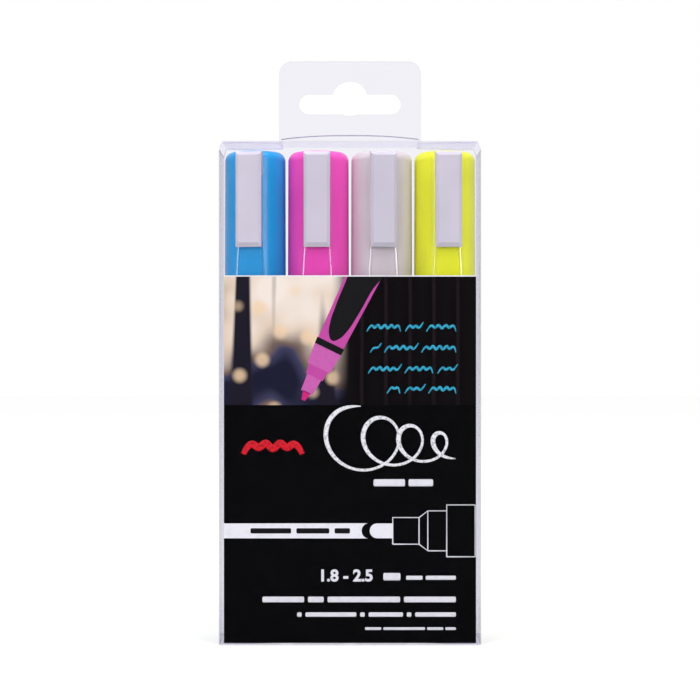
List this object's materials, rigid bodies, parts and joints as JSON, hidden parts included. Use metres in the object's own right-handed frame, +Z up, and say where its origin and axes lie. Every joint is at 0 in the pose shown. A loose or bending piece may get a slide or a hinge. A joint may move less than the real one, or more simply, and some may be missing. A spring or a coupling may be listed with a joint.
{
  "type": "liquid chalk marker pack",
  "caption": "Clear folded hang box with a printed card, holding liquid chalk markers that have bullet nibs, pump valves and clip-on caps.",
  "frame": {"origin": "middle of the pack's foot, on the surface it stands on", "axes": "+Z up towards the hang tab, front panel towards -Y, +X to the right seen from the front"},
  "size_m": [0.0748, 0.0208, 0.1696],
  "materials": {
    "clear_sheet": "clear glossy folded sheet",
    "printed_card": null,
    "blue_plastic": "moulded, glossy",
    "pink_plastic": "moulded, glossy",
    "white_plastic": "moulded, glossy",
    "yellow_plastic": "moulded, glossy",
    "clip_plastic": "satin grey moulding",
    "seal_plastic": "soft natural polyethylene",
    "valve_plastic": "natural moulding",
    "spring_steel": "drawn wire",
    "ball_steel": "polished ball",
    "blue_nib": "porous fibre soaked with ink",
    "pink_nib": "porous fibre soaked with ink",
    "white_nib": "porous fibre soaked with ink",
    "yellow_nib": "porous fibre soaked with ink"
  },
  "bodies": {
    "case": {"case_sleeve": "clear_sheet", "top_flap_left": "clear_sheet", "top_flap_right": "clear_sheet", "bottom_flap": "clear_sheet", "bottom_dust_left": "clear_sheet", "bottom_dust_right": "clear_sheet", "card": "printed_card"},
    "lid": {"lid": "clear_sheet"},
    "blue_marker": {"blue_barrel": "blue_plastic", "blue_tail_plug": "blue_plastic", "blue_front_section": "blue_plastic", "blue_valve_body": "valve_plastic"},
    "blue_cap_group": {"blue_cap": "blue_plastic", "blue_clip": "clip_plastic", "blue_inner_cap": "seal_plastic"},
    "blue_nib_group": {"blue_nib": "blue_nib", "blue_valve_stem": "valve_plastic", "blue_spring": "spring_steel"},
    "blue_ball": {"blue_mixing_ball": "ball_steel"},
    "pink_marker": {"pink_barrel": "pink_plastic", "pink_tail_plug": "pink_plastic", "pink_front_section": "pink_plastic", "pink_valve_body": "valve_plastic"},
    "pink_cap_group": {"pink_cap": "pink_plastic", "pink_clip": "clip_plastic", "pink_inner_cap": "seal_plastic"},
    "pink_nib_group": {"pink_nib": "pink_nib", "pink_valve_stem": "valve_plastic", "pink_spring": "spring_steel"},
    "pink_ball": {"pink_mixing_ball": "ball_steel"},
    "white_marker": {"white_barrel": "white_plastic", "white_tail_plug": "white_plastic", "white_front_section": "white_plastic", "white_valve_body": "valve_plastic"},
    "white_cap_group": {"white_cap": "white_plastic", "white_clip": "clip_plastic", "white_inner_cap": "seal_plastic"},
    "white_nib_group": {"white_nib": "white_nib", "white_valve_stem": "valve_plastic", "white_spring": "spring_steel"},
    "white_ball": {"white_mixing_ball": "ball_steel"},
    "yellow_marker": {"yellow_barrel": "yellow_plastic", "yellow_tail_plug": "yellow_plastic", "yellow_front_section": "yellow_plastic", "yellow_valve_body": "valve_plastic"},
    "yellow_cap_group": {"yellow_cap": "yellow_plastic", "yellow_clip": "clip_plastic", "yellow_inner_cap": "seal_plastic"},
    "yellow_nib_group": {"yellow_nib": "yellow_nib", "yellow_valve_stem": "valve_plastic", "yellow_spring": "spring_steel"},
    "yellow_ball": {"yellow_mixing_ball": "ball_steel"}
  },
  "joints": [
    {"name": "lid_hinge", "type": "hinge", "parent": "case", "child": "lid", "pos_m": [0, -0.01045, 0.1437], "axis": [1, 0, 0], "range_deg": [0, 180]},
    {"name": "blue_turn", "type": "hinge", "parent": "case", "child": "blue_marker", "pos_m": [-0.02753, 0.00105, 0], "axis": [0, 0, 1], "range_deg": [-21, 39]},
    {"name": "blue_cap_pull", "type": "slide", "parent": "blue_marker", "child": "blue_cap_group", "axis": [0, 0, 1], "range_m": [0, 0.0013]},
    {"name": "blue_nib_press", "type": "slide", "parent": "blue_marker", "child": "blue_nib_group", "axis": [0, 0, -1], "range_m": [0, 0.0022], "stiffness_N_per_m": 700, "springref_m": -0.001, "deforming": ["blue_spring"]},
    {"name": "blue_ball_rattle", "type": "slide", "parent": "blue_marker", "child": "blue_ball", "axis": [0, 0, 1], "range_m": [0, 0.058]},
    {"name": "pink_turn", "type": "hinge", "parent": "case", "child": "pink_marker", "pos_m": [-0.00918, 0.00105, 0], "axis": [0, 0, 1], "range_deg": [-28, 32]},
    {"name": "pink_cap_pull", "type": "slide", "parent": "pink_marker", "child": "pink_cap_group", "axis": [0, 0, 1], "range_m": [0, 0.0013]},
    {"name": "pink_nib_press", "type": "slide", "parent": "pink_marker", "child": "pink_nib_group", "axis": [0, 0, -1], "range_m": [0, 0.0022], "stiffness_N_per_m": 700, "springref_m": -0.001, "deforming": ["pink_spring"]},
    {"name": "pink_ball_rattle", "type": "slide", "parent": "pink_marker", "child": "pink_ball", "axis": [0, 0, 1], "range_m": [0, 0.058]},
    {"name": "white_turn", "type": "hinge", "parent": "case", "child": "white_marker", "pos_m": [0.00918, 0.00105, 0], "axis": [0, 0, 1], "range_deg": [-33, 27]},
    {"name": "white_cap_pull", "type": "slide", "parent": "white_marker", "child": "white_cap_group", "axis": [0, 0, 1], "range_m": [0, 0.0013]},
    {"name": "white_nib_press", "type": "slide", "parent": "white_marker", "child": "white_nib_group", "axis": [0, 0, -1], "range_m": [0, 0.0022], "stiffness_N_per_m": 700, "springref_m": -0.001, "deforming": ["white_spring"]},
    {"name": "white_ball_rattle", "type": "slide", "parent": "white_marker", "child": "white_ball", "axis": [0, 0, 1], "range_m": [0, 0.058]},
    {"name": "yellow_turn", "type": "hinge", "parent": "case", "child": "yellow_marker", "pos_m": [0.02753, 0.00105, 0], "axis": [0, 0, 1], "range_deg": [-34.5, 25.5]},
    {"name": "yellow_cap_pull", "type": "slide", "parent": "yellow_marker", "child": "yellow_cap_group", "axis": [0, 0, 1], "range_m": [0, 0.0013]},
    {"name": "yellow_nib_press", "type": "slide", "parent": "yellow_marker", "child": "yellow_nib_group", "axis": [0, 0, -1], "range_m": [0, 0.0022], "stiffness_N_per_m": 700, "springref_m": -0.001, "deforming": ["yellow_spring"]},
    {"name": "yellow_ball_rattle", "type": "slide", "parent": "yellow_marker", "child": "yellow_ball", "axis": [0, 0, 1], "range_m": [0, 0.058]}
  ]
}
